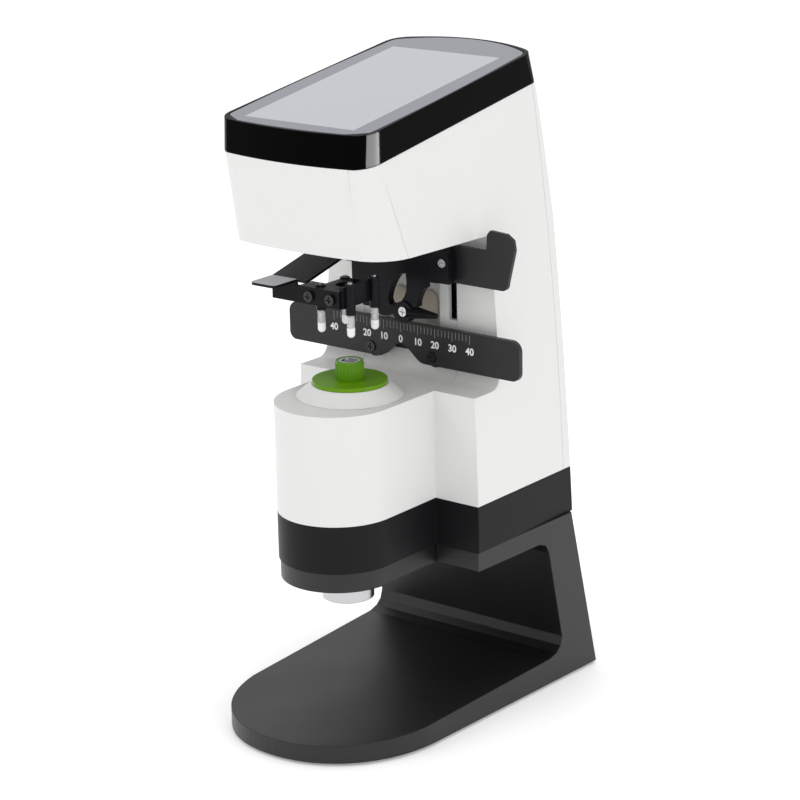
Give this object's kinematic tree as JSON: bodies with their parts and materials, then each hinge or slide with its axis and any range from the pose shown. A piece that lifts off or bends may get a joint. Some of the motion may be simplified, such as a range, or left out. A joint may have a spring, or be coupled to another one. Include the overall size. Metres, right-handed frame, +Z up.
{
  "type": "lensmeter",
  "caption": "Desk lensmeter on a C-shaped stand: tower with ribbed lens rest, sliding lens table with scale, spring-pin lens holder, tilted display head.",
  "frame": {"origin": "centre of the bounding box, on the ground under the feet", "axes": "+Z up, the user stands on the -Y side facing +Y, +X to the user's right"},
  "size_m": [0.1356, 0.1968, 0.3063],
  "materials": {
    "powder_coat": "fine textured powder coat",
    "rubber": "matte",
    "steel": "satin",
    "black_steel": "satin black",
    "black_plastic": "satin",
    "white_plastic": "satin gloss, warm white",
    "black_gloss": "high gloss black",
    "felt": "beige felt",
    "screen_glass": "clear cover glass that reflects a pale sky",
    "screen": "display that is off",
    "circuit_board": "solder mask green",
    "lens_glass": "clear",
    "green_plastic": "lime green moulding",
    "polished_barrel": "polished",
    "anodised": "dark anodised",
    "scale_print": "white print",
    "brass": "satin",
    "slider_metal": "machined",
    "soft_white": "soft white tip",
    "clear_sleeve": "clear tube"
  },
  "bodies": {
    "housing": {"stand": "powder_coat", "nose_base_plate": "powder_coat", "rubber_feet": "rubber", "stand_screws": "steel", "skirt": "black_plastic", "body_shell": "white_plastic", "rear_cover": "white_plastic", "rear_cover_screws": "steel", "throat_panel": "white_plastic", "felt_pads": "felt", "display_bezel": "black_gloss", "cover_glass": "screen_glass", "lcd_panel": "screen", "display_board": "circuit_board", "main_board": "circuit_board", "led_board": "circuit_board", "collimator_barrel": "black_plastic", "collimator_lens": "lens_glass", "rest_cone": "white_plastic", "rest_ring": "green_plastic", "hartmann_plate": "steel", "imaging_lens": "lens_glass", "sensor_barrel": "polished_barrel", "imaging_tube": "black_plastic", "sensor_board": "circuit_board", "table_bushes": "brass", "holder_bracket": "black_plastic", "bracket_screws": "steel", "guide_frame": "anodised", "guide_rods": "steel", "lift_spring": "steel", "power_inlet": "black_plastic"},
    "lens_holder": {"slider_block": "slider_metal", "thumb_lever": "black_steel", "lever_screws": "black_steel", "pin_frame": "black_plastic", "hook_lever": "black_steel", "pin_spring_1": "steel", "pin_spring_2": "steel", "pin_spring_3": "steel", "pin_spring_4": "steel"},
    "lens_table_slide": {"lens_table": "anodised", "scale_marks": "scale_print", "table_screws": "black_steel", "table_bracket": "black_plastic", "table_rods": "steel"},
    "cap": {"rest_cap": "green_plastic", "cap_ring": "steel", "cap_window": "lens_glass"},
    "switch_rocker": {"power_switch": "black_plastic"},
    "holder_pin_1": {"pin_1": "soft_white", "pin_sleeve_1": "clear_sleeve"},
    "holder_pin_2": {"pin_2": "soft_white", "pin_sleeve_2": "clear_sleeve"},
    "holder_pin_3": {"pin_3": "soft_white", "pin_sleeve_3": "clear_sleeve"},
    "holder_pin_4": {"pin_4": "soft_white", "pin_sleeve_4": "clear_sleeve"}
  },
  "joints": [
    {"name": "holder_slide", "type": "slide", "parent": "housing", "child": "lens_holder", "axis": [0, 0, 1], "range_m": [-0.0136, 0], "deforming": ["lift_spring"]},
    {"name": "table_slide", "type": "slide", "parent": "housing", "child": "lens_table_slide", "axis": [0, -1, 0], "range_m": [0, 0.022]},
    {"name": "cap_lift", "type": "slide", "parent": "housing", "child": "cap", "axis": [0, 0, 1], "range_m": [0, 0.01]},
    {"name": "switch_rock", "type": "hinge", "parent": "housing", "child": "switch_rocker", "pos_m": [0.0065, 0.07215, 0.0949], "axis": [1, 0, 0], "range_deg": [-9, 9]},
    {"name": "pin_1_slide", "type": "slide", "parent": "lens_holder", "child": "holder_pin_1", "axis": [0, 0, 1], "range_m": [0, 0.003], "stiffness_N_per_m": 60, "springref_m": -0.003, "deforming": ["pin_spring_1"]},
    {"name": "pin_2_slide", "type": "slide", "parent": "lens_holder", "child": "holder_pin_2", "axis": [0, 0, 1], "range_m": [0, 0.003], "stiffness_N_per_m": 60, "springref_m": -0.003, "deforming": ["pin_spring_2"]},
    {"name": "pin_3_slide", "type": "slide", "parent": "lens_holder", "child": "holder_pin_3", "axis": [0, 0, 1], "range_m": [0, 0.003], "stiffness_N_per_m": 60, "springref_m": -0.003, "deforming": ["pin_spring_3"]},
    {"name": "pin_4_slide", "type": "slide", "parent": "lens_holder", "child": "holder_pin_4", "axis": [0, 0, 1], "range_m": [0, 0.003], "stiffness_N_per_m": 60, "springref_m": -0.003, "deforming": ["pin_spring_4"]}
  ]
}
